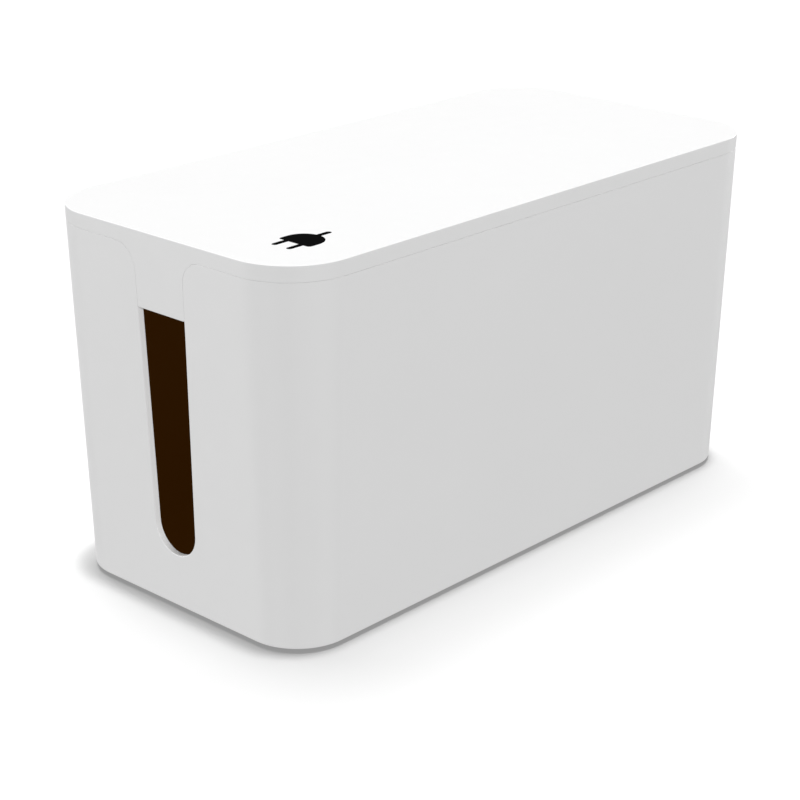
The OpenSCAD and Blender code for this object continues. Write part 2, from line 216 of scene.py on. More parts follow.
def lathe(name, profile, centre, mats, n=64, mat_of=None, axis="z"):
    """Closed solid of revolution; profile is (radius, height) from the axis out and back."""
    m = Mesh()
    rows = []
    for r, h in profile:
        if r < 1e-6:
            rows.append([m.add([(0, 0, h)])[0]] * n)
        else:
            rows.append(m.add(circle(0, 0, r, h, n)))
    for k, (a, b) in enumerate(zip(rows, rows[1:])):
        mt = mat_of(k) if mat_of else 0
        for i in range(n):
            j = (i + 1) % n
            ids = []
            for q in (a[i], a[j], b[j], b[i]):
                if q not in ids:
                    ids.append(q)
            if len(ids) > 2:
                m.face(ids, mt)
    if axis == "x":
        m.v = [(p[2], p[0], p[1]) for p in m.v]
    m.v = [(p[0] + centre[0], p[1] + centre[1], p[2] + centre[2]) for p in m.v]
    return to_object(name, m.bm(), mats)


def round_profile(pts, radii, n=4):
    """Rounds the corners of an open profile of (r, h) points."""
    out = [pts[0]]
    for i in range(1, len(pts) - 1):
        p, a, b = Vector(pts[i]), Vector(pts[i - 1]), Vector(pts[i + 1])
        r = radii[i] if isinstance(radii, (list, tuple)) else radii
        if r <= 0:
            out.append(tuple(p))
            continue
        u, v = (a - p), (b - p)
        lu, lv = u.length, v.length
        u.normalize()
        v.normalize()
        ang = u.angle(v)
        t = min(r / math.tan(ang / 2), lu * 0.49, lv * 0.49)
        rr = t * math.tan(ang / 2)
        s, e = p + u * t, p + v * t
        c = p + (u + v).normalized() * (rr / math.sin(ang / 2))
        a0 = math.atan2(s.y - c.y, s.x - c.x)
        a1 = math.atan2(e.y - c.y, e.x - c.x)
        d = (a1 - a0 + math.pi) % (2 * math.pi) - math.pi
        for k in range(n + 1):
            q = a0 + d * k / n
            out.append((c.x + rr * math.cos(q), c.y + rr * math.sin(q)))
    out.append(pts[-1])
    return out


# ------------------------------------------------------------------ materials


def new_mat(name):
    m = bpy.data.materials.new(name)
    m.use_nodes = True
    nt = m.node_tree
    b = nt.nodes["Principled BSDF"]
    return m, nt, b


def node(nt, kind, **kw):
    n = nt.nodes.new(kind)
    for k, v in kw.items():
        if k in n.inputs:
            n.inputs[k].default_value = v
        else:
            setattr(n, k, v)
    return n


def plastic(name, col, rough=0.45, rough_var=0.05, grain=2600.0, grain_h=0.012, tint=0.015, wave=0.0, spec=0.4, coat=0.0, dust=0.0):
    """Moulded plastic: fine spark-eroded grain, a faint unevenness of colour and gloss, and a broad, very shallow sink."""
    m, nt, b = new_mat(name)
    tc = node(nt, "ShaderNodeTexCoord")
    # colour: broad, barely visible variation
    n1 = node(nt, "ShaderNodeTexNoise", Scale=18.0, Detail=3.0, Roughness=0.5)
    nt.links.new(tc.outputs["Object"], n1.inputs["Vector"])
    ramp = node(nt, "ShaderNodeValToRGB")
    ramp.color_ramp.elements[0].position = 0.3
    ramp.color_ramp.elements[1].position = 0.7
    ramp.color_ramp.elements[0].color = (*[c * (1 - tint) for c in col], 1)
    ramp.color_ramp.elements[1].color = (*[min(1.0, c * (1 + tint)) for c in col], 1)
    nt.links.new(n1.outputs["Fac"], ramp.inputs["Fac"])
    nt.links.new(ramp.outputs["Color"], b.inputs["Base Color"])
    # gloss: fine and broad variation together
    n2 = node(nt, "ShaderNodeTexNoise", Scale=140.0, Detail=4.0, Roughness=0.6)
    nt.links.new(tc.outputs["Object"], n2.inputs["Vector"])
    mr = node(nt, "ShaderNodeMapRange")
    mr.inputs["From Min"].default_value = 0.25
    mr.inputs["From Max"].default_value = 0.75
    mr.inputs["To Min"].default_value = rough - rough_var
    mr.inputs["To Max"].default_value = rough + rough_var
    nt.links.new(n2.outputs["Fac"], mr.inputs["Value"])
    nt.links.new(mr.outputs["Result"], b.inputs["Roughness"])
    # grain
    n3 = node(nt, "ShaderNodeTexNoise", Scale=grain, Detail=2.0, Roughness=0.55)
    nt.links.new(tc.outputs["Object"], n3.inputs["Vector"])
    bump = node(nt, "ShaderNodeBump", Strength=1.0, Distance=grain_h * MM)
    nt.links.new(n3.outputs["Fac"], bump.inputs["Height"])
    if wave > 0:
        n4 = node(nt, "ShaderNodeTexNoise", Scale=22.0, Detail=1.0, Roughness=0.4)
        nt.links.new(tc.outputs["Object"], n4.inputs["Vector"])
        b2 = node(nt, "ShaderNodeBump", Strength=1.0, Distance=wave * MM)
        nt.links.new(n4.outputs["Fac"], b2.inputs["Height"])
        nt.links.new(bump.outputs["Normal"], b2.inputs["Normal"])
        nt.links.new(b2.outputs["Normal"], b.inputs["Normal"])
    else:
        nt.links.new(bump.outputs["Normal"], b.inputs["Normal"])
    b.inputs["Specular IOR Level"].default_value = spec
    b.inputs["Coat Weight"].default_value = coat
    b.inputs["Coat Roughness"].default_value = 0.15
    return m


def metal(name, col, rough=0.28, brushed=(1, 1, 1), depth=0.004):
    m, nt, b = new_mat(name)
    tc = node(nt, "ShaderNodeTexCoord")
    mp = node(nt, "ShaderNodeMapping")
    mp.inputs["Scale"].default_value = brushed
    nt.links.new(tc.outputs["Object"], mp.inputs["Vector"])
    n1 = node(nt, "ShaderNodeTexNoise", Scale=600.0, Detail=4.0, Roughness=0.6)
    nt.links.new(mp.outputs["Vector"], n1.inputs["Vector"])
    ramp = node(nt, "ShaderNodeValToRGB")
    ramp.color_ramp.elements[0].position = 0.3
    ramp.color_ramp.elements[1].position = 0.75
    ramp.color_ramp.elements[0].color = (*[c * 0.82 for c in col], 1)
    ramp.color_ramp.elements[1].color = (*col, 1)
    nt.links.new(n1.outputs["Fac"], ramp.inputs["Fac"])
    nt.links.new(ramp.outputs["Color"], b.inputs["Base Color"])
    mr = node(nt, "ShaderNodeMapRange")
    mr.inputs["To Min"].default_value = rough - 0.08
    mr.inputs["To Max"].default_value = rough + 0.10
    nt.links.new(n1.outputs["Fac"], mr.inputs["Value"])
    nt.links.new(mr.outputs["Result"], b.inputs["Roughness"])
    bump = node(nt, "ShaderNodeBump", Strength=1.0, Distance=depth * MM)
    nt.links.new(n1.outputs["Fac"], bump.inputs["Height"])
    nt.links.new(bump.outputs["Normal"], b.inputs["Normal"])
    b.inputs["Metallic"].default_value = 1.0
    return m


WHITE = (0.735, 0.735, 0.735)
m_shell = plastic("shell_white", WHITE, rough=0.42, grain_h=0.010, tint=0.004, wave=0.02, spec=0.35)
m_lid = plastic("lid_white", WHITE, rough=0.42, grain_h=0.010, tint=0.004, wave=0.02, spec=0.35)
# painted shade: the dark brown on every inner face of the shell and lid stands in for the shade inside the closed box
m_inside_painted_shade = plastic("inside_painted_shade", (0.055, 0.036, 0.02), rough=0.65, grain_h=0.02, tint=0.05, spec=0.2)
# painted glow: a faint warm emission on a part that is no lamp; with the dark brown base it paints the shade seen
# through the slots
_b = m_inside_painted_shade.node_tree.nodes["Principled BSDF"]
_b.inputs["Emission Color"].default_value = (1.0, 0.32, 0.012, 1)
_b.inputs["Emission Strength"].default_value = 0.0195
m_print = plastic("print_black", (0.004, 0.004, 0.004), rough=0.75, grain_h=0.004, tint=0.1, spec=0.0)


# ------------------------------------------------------------------ the shell

FILLET_N = 4
FOPEN, FSEAM = 0.22, 0.08


def slot_pts(e_of, n_b=16, n_s=26, n_f=14):
    """Right-hand edge of a slot from the middle of its round end up to the rim, as (|y|, z, f) with the edge moved into the shell by e."""
    out = []

    def f_at(z):
        return lerp(FOPEN, FSEAM, smooth((z - (ZTONG - 2.5)) / 2.5))

    for i in range(n_b + 1):
        p = RAD(90.0 * i / n_b)
        f = f_at(ZC - SR * math.cos(p))
        e = e_of(f)
        out.append(((SR + e) * math.sin(p), ZC - (SR + e) * math.cos(p), f))
    for i in range(1, n_s + 1):
        t = i / n_s
        z = lerp(ZC, ZF, t)
        f = f_at(z)
        out.append((lerp(SR, SHW, t) + e_of(f), z, f))
    for i in range(1, n_f + 1):
        p = RAD(90.0 * i / n_f)
        f = FSEAM
        e = e_of(f)
        out.append((SHW + FR - (FR - e) * math.cos(p), ZF + (FR - e) * math.sin(p), f))
    return out


N_RIM, N_COR, N_LONG = 8, 18, 10


def far_path(z_of, d):
    """Rest of the quarter's path after the slot: rim along the end wall, corner, half the long side."""
    out = []
    y0 = SHW + FR
    z = z_of
    r = wr(z) - d
    for c in range(1, N_RIM + 1):
        out.append((-(CX + r), -lerp(y0, CY, c / N_RIM), z))
    for c in range(1, N_COR + 1):
        t = RAD(180 + 90 * c / N_COR)
        out.append((-CX + r * math.cos(t), -CY + r * math.sin(t), z))
    for c in range(1, N_LONG + 1):
        out.append((lerp(-CX, 0, c / N_LONG), -(CY + r), z))
    return out


def shell_boundary(m, e_of, d_of):
    pts = []
    for y, z, f in slot_pts(e_of):
        pts.append((-(CX + wr(z) - d_of(f)), -y, z))
    pts += far_path(ZSEAM - e_of(FSEAM), d_of(FSEAM))
    return m.add(pts)


def shell_sheet(m, d, e_of, z_end_rows, mat):
    """Sheet of the quarter at depth d, from the boundary loop down to the first of z_end_rows, then along them. Rows are lists from y=0 to x=0."""
    edge = slot_pts(e_of)
    n1 = len(edge) - 1
    top = ZSEAM - e_of(FSEAM)
    z0 = edge[0][1]
    rows = []
    for i in range(n1, -1, -1):
        yr, zr, f = edge[i]
        zl = lerp(z0, top, i / n1)
        row = []
        for c in range(N_RIM + 1):
            s = c / N_RIM
            y = lerp(yr, CY, s)
            z = lerp(zr, zl, s)
            row.append((-(CX + wr(z) - d), -y, z))
        r = wr(zl) - d
        for c in range(1, N_COR + 1):
            t = RAD(180 + 90 * c / N_COR)
            row.append((-CX + r * math.cos(t), -CY + r * math.sin(t), zl))
        for c in range(1, N_LONG + 1):
            row.append((lerp(-CX, 0, c / N_LONG), -(CY + r), zl))
        rows.append(m.add(row))
    for z, dd in z_end_rows:
        r = wr(z) - d - dd
        row = [(-(CX + r), -lerp(0, CY, c / N_RIM), z) for c in range(N_RIM + 1)]
        for c in range(1, N_COR + 1):
            t = RAD(180 + 90 * c / N_COR)
            row.append((-CX + r * math.cos(t), -CY + r * math.sin(t), z))
        for c in range(1, N_LONG + 1):
            row.append((lerp(-CX, 0, c / N_LONG), -(CY + r), z))
        rows.append(m.add(row))
    m.rows(rows, mat=mat)
    return rows


def make_shell():
    m = Mesh()
    fb = 0.35
    z_low = ZC - SR - FOPEN
    down = [(lerp(z_low, ZS + fb, i / 5), 0.0) for i in range(1, 6)]
    down += [(ZS + fb - fb * math.sin(t), fb * (1 - math.cos(t))) for t in arc(4)[1:]]
    outer = shell_sheet(m, 0.0, lambda f: f, down, 0)
    # rounded edge from the outer face, over the wall's thickness, to the inner face
    loops = [shell_boundary(m, lambda f, t=t: f * (1 - math.sin(t)), lambda f, t=t: f * (1 - math.cos(t))) for t in arc(FILLET_N)]
    loops += [shell_boundary(m, lambda f, t=t: f * (1 - math.cos(t)), lambda f, t=t: WALL - f + f * math.sin(t)) for t in arc(FILLET_N)]
    m.rows(loops, mat=0)
    ri = 1.4
    inn = [(lerp(z_low, ZFL + ri, i / 4), 0.0) for i in range(1, 5)]
    inn += [(ZFL + ri - ri * math.sin(t), ri * (1 - math.cos(t))) for t in arc(5)[1:]]
    inner = shell_sheet(m, WALL, lambda f: f, inn, 1)
    # floor, inside
    m.cap([inner[-1] + m.add([(0, 0, ZFL)])], 1)
    # underside, with a pocket for a foot
    pr = FOOT_R + 0.15
    rim = circle(-FOOT_X, -FOOT_Y, pr + 0.25, ZS, 48)
    p0 = m.add(rim)
    m.cap([outer[-1] + m.add([(0, 0, ZS)]), p0], 0)
    rows = [p0]
    for t in arc(3)[1:]:
        rows.append(m.add(circle(-FOOT_X, -FOOT_Y, pr + 0.25 * (1 - math.sin(t)), ZS + 0.25 * (1 - math.cos(t)), 48)))
    rows.append(m.add(circle(-FOOT_X, -FOOT_Y, pr, ZS + 1.0, 48)))
    m.rows(rows, closed=True, mat=0)
    m.ngon(rows[-1], 0)
    m.mirror("x")
    m.mirror("y")
    return m


def bar(m, lo, hi, r=0.25, mat=0):
    """Closed box with rounded edges."""
    b = bmesh.new()
    bmesh.ops.create_cube(b, size=1.0)
    for v in b.verts:
        v.co = Vector([lerp(lo[k], hi[k], v.co[k] + 0.5) for k in range(3)])
    bmesh.ops.bevel(b, geom=list(b.edges), offset=r, segments=2, profile=0.5, affect="EDGES", clamp_overlap=True)
    base = len(m.v)
    b.verts.ensure_lookup_table()
    m.v += [tuple(v.co) for v in b.verts]
    for f in b.faces:
        m.face([v.index + base for v in f.verts], mat)
    b.free()


def union(bm_a, meshes):
    """Exact union of a mesh with other closed meshes."""
    me = bpy.data.meshes.new("tmp_a")
    bm_a.to_mesh(me)
    bm_a.free()
    oa = bpy.data.objects.new("tmp_a", me)
    bpy.context.scene.collection.objects.link(oa)
    tmp = []
    for k, q in enumerate(meshes):
        b = q.bm()
        mb = bpy.data.meshes.new("tmp_b%d" % k)
        b.to_mesh(mb)
        b.free()
        ob = bpy.data.objects.new("tmp_b%d" % k, mb)
        bpy.context.scene.collection.objects.link(ob)
        mod = oa.modifiers.new("u%d" % k, "BOOLEAN")
        mod.operation = "UNION"
        mod.solver = "EXACT"
        mod.object = ob
        mod.material_mode = "INDEX"
        tmp.append(ob)
    dg = bpy.context.evaluated_depsgraph_get()
    out = bmesh.new()
    out.from_object(oa, dg)
    for o in [oa] + tmp:
        bpy.data.objects.remove(o)
    return out


shell_mesh = make_shell()
ribs = []
g, t_, hr, leg = 0.6, 1.6, 5.0, 16.0
rx0, rx1, ry1 = SX - g, SX + SL + g, SW / 2 + g
for k in (0, 1):
    for sy in (-1, 1):
        q = Mesh()
        x = rx0 - t_ if k == 0 else rx1
        y = ry1 - leg if sy > 0 else -ry1
        bar(q, (x, y, ZFL - 0.8), (x + t_, y + leg, ZFL + hr), mat=1)
        ribs.append(q)
        q = Mesh()
        x = rx0 - t_ + 10 if k == 0 else rx1 + t_ - leg - 10
        y = ry1 if sy > 0 else -ry1 - t_
        bar(q, (x, y, ZFL - 0.8), (x + leg, y + t_, ZFL + hr), mat=1)
        ribs.append(q)
# material index 1, the inner faces and ribs, takes the painted-shade brown with its painted glow
shell = to_object("shell", union(shell_mesh.bm(), ribs), [m_shell, m_inside_painted_shade])
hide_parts("body_shell")
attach(shell, "box")

# ------------------------------------------------------------------ the lid

GAP = 0.03
RC = 0.5
FTOP = 0.2
N_TC = 8


def y_side(z):
    return lerp(SR, SHW, (z - ZC) / (ZF - ZC))


def tongue_pts(e_of, n_c=4, n_s=5, n_f=14):
    """Edge of the tongue from the start of its lower corner up to the skirt, as (|y|, z, f)."""
    out = []
    for i in range(n_c + 1):
        p = RAD(90.0 * i / n_c)
        f = lerp(FOPEN * 0.85, FSEAM, i / n_c)
        e = e_of(f)
        r = RC - e
        out.append((y_side(ZTONG) - GAP - RC + r * math.sin(p), ZTONG + RC - r * math.cos(p), f))
    for i in range(1, n_s + 1):
        z = lerp(ZTONG + RC, ZF, i / n_s)
        out.append((y_side(z) - GAP - e_of(FSEAM), z, FSEAM))
    for i in range(1, n_f + 1):
        p = RAD(90.0 * i / n_f)
        r = FR + GAP + e_of(FSEAM)
        out.append((SHW + FR - r * math.cos(p), ZF + r * math.sin(p), FSEAM))
    return out


def lid_boundary(m, e_of, d_of):
    edge = tongue_pts(e_of)
    f0 = edge[0][2]
    pts = []
    z = ZTONG + e_of(f0)
    for c in range(N_TC):
        pts.append((-(CX + wr(z) - d_of(f0)), -lerp(0, edge[0][0], c / N_TC), z))
    for y, z, f in edge:
        pts.append((-(CX + wr(z) - d_of(f)), -y, z))
    pts += far_path(ZSEAM + GAP + e_of(FSEAM), d_of(FSEAM))
    return m.add(pts)


def lid_row(z, d):
    r = wr(min(z, ZT)) - d
    row = [(-(CX + r), -lerp(0, SHW + FR, c / N_TC), z) for c in range(N_TC)]
    row.append((-(CX + r), -(SHW + FR), z))
    row += far_path(z, d)
    return row


def lid_sheet(m, d, e_of, up_rows, mat):
    edge = tongue_pts(e_of)
    n1 = len(edge) - 1
    zb = ZTONG + e_of(edge[0][2])
    ztop = ZSEAM + GAP + e_of(FSEAM)
    rows = []
    for i, (yr, zr, f) in enumerate(edge):
        zl = lerp(zb, ztop, i / n1)
        row = []
        for c in range(N_TC + 1):
            s = c / N_TC
            z = lerp(zl, zr, s)
            row.append((-(CX + wr(z) - d), -lerp(0, yr, s), z))
        rows.append(m.add(row))
    m.rows(rows, mat=mat)
    ups = [m.add(lid_row(z, d + dd)) for z, dd in [(ztop, 0.0)] + up_rows]
    m.rows(ups, mat=mat)
    return ups


def make_lid():
    m = Mesh()
    zt0 = ZT - FTOP
    ztop = ZSEAM + GAP + FSEAM
    up = [(lerp(ztop, zt0, i / 3), 0.0) for i in range(1, 4)]
    up += [(zt0 + FTOP * math.sin(t), FTOP * (1 - math.cos(t))) for t in arc(5)[1:]]
    outer = lid_sheet(m, 0.0, lambda f: f, up, 0)
    loops = [lid_boundary(m, lambda f, t=t: f * (1 - math.sin(t)), lambda f, t=t: f * (1 - math.cos(t))) for t in arc(FILLET_N)]
    loops += [lid_boundary(m, lambda f, t=t: f * (1 - math.cos(t)), lambda f, t=t: WALL - f + f * math.sin(t)) for t in arc(FILLET_N)]
    m.rows(loops, mat=0)
    ri = 0.8
    zu = ZT - LIDT
    up = [(lerp(ztop, zu - ri, i / 2), 0.0) for i in range(1, 3)]
    up += [(zu - ri + ri * math.sin(t), ri * (1 - math.cos(t))) for t in arc(4)[1:]]
    inner = lid_sheet(m, WALL, lambda f: f, up, 1)
    m.cap([inner[-1] + m.add([(0, 0, zu)])], 1)
    m.mirror("x")
    m.mirror("y")
    # top face in one piece, with the printed sign let into it
    q = lid_row(ZT, FTOP)
    ring = q + [(-x, y, z) for x, y, z in reversed(q[:-1])]
    ring += [(x, -y, z) for x, y, z in reversed(ring[1:-1])]
    sign = m.add(plug_sign())
    m.cap([m.add(ring), sign], 0)
    m.cap([sign], 2)
    return m


SIGN_X, SIGN_Y = -90.5, -35.3


def plug_sign():
    """Outline of a plain mains-plug sign on the lid: two pins, a D-shaped body and a short cord."""
    c = 1.0
    R, x0, bx = 6.6, -4.2, -0.2
    pts = []

    def turn(cx, cy, r, a0, a1, n=6):
        for i in range(n + 1):
            a = RAD(lerp(a0, a1, i / n))
            pts.append((cx + r * math.cos(a), cy + r * math.sin(a)))

    a = math.degrees(math.asin(c / R))
    turn(10.4, 0, c, -90, 90, 8)
    turn(bx, 0, R, a, 90, 14)
    turn(x0 + 1.2, R - 1.2, 1.2, 90, 180)
    for v in (3.1, -3.1):
        pts.append((x0, v + 1.0))
        turn(x0 - 4.6, v, 1.0, 90, 270, 8)
        pts.append((x0, v - 1.0))
    turn(x0 + 1.2, -R + 1.2, 1.2, 180, 270)
    turn(bx, 0, R, -90, -a, 14)
    return [(SIGN_X + u, SIGN_Y + v, ZT) for u, v in pts]


def ring_rows(z, d, nc=14):
    r = wr(z) - d
    return rrect(CX, CY, r, z, nc)


def make_lip():
    m = Mesh()
    i0, tk, zb, zt_ = WALL + 0.35, 1.2, ZSEAM - 5.0, ZT - LIDT + 0.6
    f = 0.3
    prof = [(zt_, i0), (zb + f, i0)] + [(zb + f * (1 - math.sin(t)), i0 + f * (1 - math.cos(t))) for t in arc(3)[1:]]
    prof += [(zb + f * (1 - math.cos(t)), i0 + tk - f + f * math.sin(t)) for t in arc(3)] + [(zt_, i0 + tk)]
    rows = [m.add(ring_rows(z, d)) for z, d in prof]
    m.rows(rows, closed=True, mat=1)
    m.strip(rows[-1], rows[0], closed=True, mat=1)
    return m


def prism_xz(poly, y0, y1, mat=1):
    m = Mesh()
    a = m.add([(x, y0, z) for x, z in poly])
    b = m.add([(x, y1, z) for x, z in poly])
    m.strip(a, b, closed=True, mat=mat)
    m.ngon(list(reversed(a)), mat)
    m.ngon(b, mat)
    return m


lid_parts = [make_lip()]
lip_z = ZSEAM - 5.0
for sd in (-1, 1):
    poly = [(sd * (CX + wr(z) - i), z) for i, z in ((WALL - 0.2, lip_z), (WALL + 0.55, lip_z), (WALL + 0.55, ZSEAM + 0.5), (WALL - 0.2, ZSEAM + 0.5))]
    lid_parts.append(prism_xz(poly, -(SHW - 1.5), SHW - 1.5))
    zu = ZT - LIDT
    for y in (-6.5, 6.5):
        poly = [
            (sd * (CX + wr(ZT) - WALL - 4), zu + 0.6),
            (sd * (CX + wr(ZT) - WALL + 0.6), zu + 0.6),
            (sd * (CX + wr(ZTONG + 2) - WALL + 0.6), ZTONG + 2),
            (sd * (CX + wr(ZTONG + 2) - WALL - 1), ZTONG + 2),
            (sd * (CX + wr(ZTONG + 6) - WALL - 4), ZTONG + 6),
        ]
        lid_parts.append(prism_xz(poly, y - 0.7, y + 0.7))
for y in (-CY * 0.6, 0.0, CY * 0.6):
    q = Mesh()
    bar(q, (-CX + 6, y - 0.6, ZT - LIDT - 1.6), (CX - 6, y + 0.6, ZT - LIDT + 0.7), 0.2, 1)
    lid_parts.append(q)
for x in (-CX * 0.75, -CX * 0.375, 0.0, CX * 0.375, CX * 0.75):
    q = Mesh()
    bar(q, (x - 0.6, -CY * 0.6 - 0.3, ZT - LIDT - 1.4), (x + 0.6, CY * 0.6 + 0.3, ZT - LIDT + 0.7), 0.2, 1)
    lid_parts.append(q)

# material index 1, the lid's inner faces, lip and ribs, takes the painted-shade brown with its painted glow
lid = to_object("lid_moulding", union(make_lid().bm(), lid_parts), [m_lid, m_inside_painted_shade, m_print])
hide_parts("lid")
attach(lid, "lid")

# ------------------------------------------------------------------ materials of the small pieces


def rubber(name, col=(0.022, 0.022, 0.023), rough=0.72):
    """Matt rubber with a fine leathery grain and a little pale bloom on it."""
    m = plastic(name, col, rough=rough, rough_var=0.08, grain=1500.0, grain_h=0.03, tint=0.22, spec=0.25)
    nt = m.node_tree
    b = nt.nodes["Principled BSDF"]
    tc = node(nt, "ShaderNodeTexCoord")
    n = node(nt, "ShaderNodeTexNoise", Scale=60.0, Detail=5.0, Roughness=0.65)
    nt.links.new(tc.outputs["Object"], n.inputs["Vector"])
    ramp = node(nt, "ShaderNodeValToRGB")
    ramp.color_ramp.elements[0].position = 0.55
    ramp.color_ramp.elements[1].position = 0.85
    ramp.color_ramp.elements[0].color = (*col, 1)
    ramp.color_ramp.elements[1].color = (*[c * 1.9 + 0.006 for c in col], 1)
    nt.links.new(n.outputs["Fac"], ramp.inputs["Fac"])
    nt.links.new(ramp.outputs["Color"], b.inputs["Base Color"])
    b.inputs["Sheen Weight"].default_value = 0.08
    b.inputs["Sheen Roughness"].default_value = 0.5
    return m


def board_mat():
    """Solder mask over copper tracks, with the weave of the laminate showing faintly."""
    m, nt, b = new_mat("circuit_board_green")
    tc = node(nt, "ShaderNodeTexCoord")
    mp = node(nt, "ShaderNodeMapping")
    mp.inputs["Scale"].default_value = (1, 1, 1)
    nt.links.new(tc.outputs["Object"], mp.inputs["Vector"])
    br = node(nt, "ShaderNodeTexBrick", Scale=95.0)
    br.offset = 0.5
    br.inputs["Mortar Size"].default_value = 0.06
    br.inputs["Mortar Smooth"].default_value = 0.25
    br.inputs["Brick Width"].default_value = 0.9
    br.inputs["Row Height"].default_value = 0.32
    br.inputs["Color1"].default_value = (0.012, 0.085, 0.034, 1)
    br.inputs["Color2"].default_value = (0.018, 0.115, 0.045, 1)
    br.inputs["Mortar"].default_value = (0.006, 0.045, 0.02, 1)
    nt.links.new(mp.outputs["Vector"], br.inputs["Vector"])
    nt.links.new(br.outputs["Color"], b.inputs["Base Color"])
    wv = node(nt, "ShaderNodeTexWave", Scale=420.0, Distortion=0.4)
    nt.links.new(mp.outputs["Vector"], wv.inputs["Vector"])
    mr = node(nt, "ShaderNodeMapRange")
    mr.inputs["To Min"].default_value = 0.22
    mr.inputs["To Max"].default_value = 0.34
    nt.links.new(wv.outputs["Fac"], mr.inputs["Value"])
    nt.links.new(mr.outputs["Result"], b.inputs["Roughness"])
    b1 = node(nt, "ShaderNodeBump", Strength=1.0, Distance=0.03 * MM)
    nt.links.new(br.outputs["Fac"], b1.inputs["Height"])
    b1.invert = True
    b2 = node(nt, "ShaderNodeBump", Strength=1.0, Distance=0.004 * MM)
    nt.links.new(wv.outputs["Fac"], b2.inputs["Height"])
    nt.links.new(b1.outputs["Normal"], b2.inputs["Normal"])
    nt.links.new(b2.outputs["Normal"], b.inputs["Normal"])
    b.inputs["Coat Weight"].default_value = 0.4
    b.inputs["Coat Roughness"].default_value = 0.2
    return m


def epoxy(name, col, rough=0.22):
    """Dipped coat: glossy, with a slow unevenness of thickness."""
    m = plastic(name, col, rough=rough, rough_var=0.06, grain=500.0, grain_h=0.02, tint=0.06, wave=0.06, spec=0.5, coat=0.3)
    return m


m_foot = rubber("foot_rubber_grey", (0.030, 0.030, 0.031))
m_pad = rubber("pad_rubber_black", (0.018, 0.018, 0.018), 0.85)
m_gland = rubber("gland_rubber_black", (0.016, 0.016, 0.017), 0.62)
m_strip = plastic("strip_white", (0.79, 0.79, 0.78), rough=0.36, rough_var=0.05, grain=1900.0, grain_h=0.012, tint=0.008, wave=0.03, spec=0.45)
m_face = plastic("outlet_face_white", (0.82, 0.82, 0.81), rough=0.24, rough_var=0.04, grain=900.0, grain_h=0.004, tint=0.006, wave=0.02, spec=0.5)
m_bezel = plastic("switch_black", (0.016, 0.016, 0.017), rough=0.34, rough_var=0.05, grain=1600.0, grain_h=0.012, tint=0.06, spec=0.45)
m_breaker = plastic("breaker_black", (0.020, 0.020, 0.022), rough=0.46, rough_var=0.06, grain=1300.0, grain_h=0.02, tint=0.08, spec=0.4)
m_button = plastic("button_black", (0.014, 0.014, 0.015), rough=0.26, rough_var=0.04, grain=1500.0, grain_h=0.006, tint=0.05, spec=0.5)
m_nut = plastic("nut_white", (0.62, 0.62, 0.60), rough=0.30, rough_var=0.04, grain=1500.0, grain_h=0.008, tint=0.01, spec=0.5)
m_red = plastic("rocker_red", (0.56, 0.017, 0.012), rough=0.17, rough_var=0.04, grain=700.0, grain_h=0.004, tint=0.05, wave=0.02, spec=0.55, coat=0.35)
m_mark = plastic("mark_white", (0.78, 0.78, 0.76), rough=0.5, grain_h=0.008, tint=0.02, spec=0.3)
m_brass = metal("contact_brass_bright", (0.84, 0.60, 0.25), rough=0.24, brushed=(0.12, 1, 1), depth=0.004)
m_steel = metal("screw_zinc", (0.66, 0.67, 0.68), rough=0.26, brushed=(1, 1, 0.2), depth=0.004)
m_board = board_mat()
m_varistor = epoxy("varistor_blue", (0.035, 0.115, 0.42))
m_cap = epoxy("capacitor_yellow", (0.66, 0.40, 0.045), 0.3)
m_fuse = epoxy("fuse_body_pale", (0.68, 0.66, 0.60), 0.34)
m_chip = plastic("chip_pale", (0.72, 0.74, 0.66), rough=0.3, rough_var=0.05, grain_h=0.004, tint=0.03)
m_lens = plastic("lens_green", (0.030, 0.42, 0.115), rough=0.10, rough_var=0.03, grain=400.0, grain_h=0.002, tint=0.08, spec=0.5, coat=0.4)
_b = m_lens.node_tree.nodes["Principled BSDF"]
_b.inputs["Transmission Weight"].default_value = 0.35
_b.inputs["IOR"].default_value = 1.49
m_wire_k = plastic("wire_black", (0.015, 0.015, 0.016), rough=0.40, rough_var=0.06, grain=800.0, grain_h=0.02, tint=0.1)
m_wire_w = plastic("wire_white", (0.74, 0.73, 0.69), rough=0.42, rough_var=0.06, grain=800.0, grain_h=0.02, tint=0.02)
m_wire_g = plastic("wire_green", (0.030, 0.27, 0.075), rough=0.40, rough_var=0.06, grain=800.0, grain_h=0.02, tint=0.07)
for m_, w_ in ((m_wire_w, 0.10), (m_wire_g, 0.08)):
    m_.node_tree.nodes["Principled BSDF"].inputs["Subsurface Weight"].default_value = w_
    m_.node_tree.nodes["Principled BSDF"].inputs["Subsurface Radius"].default_value = (0.0006, 0.0005, 0.0004)

CARRIED = {
    "strip_screws": m_steel,
    "live_bar": m_brass,
    "neutral_bar": m_brass,
    "earth_bar": m_brass,
    "switch_terminals": m_brass,
    "breaker_terminals": m_brass,
    "breaker_body": m_breaker,
    "strip_pads": m_pad,
    "surge_board": m_board,
    "varistors": m_varistor,
    "thermal_fuse": m_fuse,
    "black_wires": m_wire_k,
    "white_wire": m_wire_w,
    "green_wire": m_wire_g,
}
for n_, mt in CARRIED.items():
    o = frame["nodes"][n_]
    o.data.materials.clear()
    o.data.materials.append(mt)

# ------------------------------------------------------------------ rubber feet


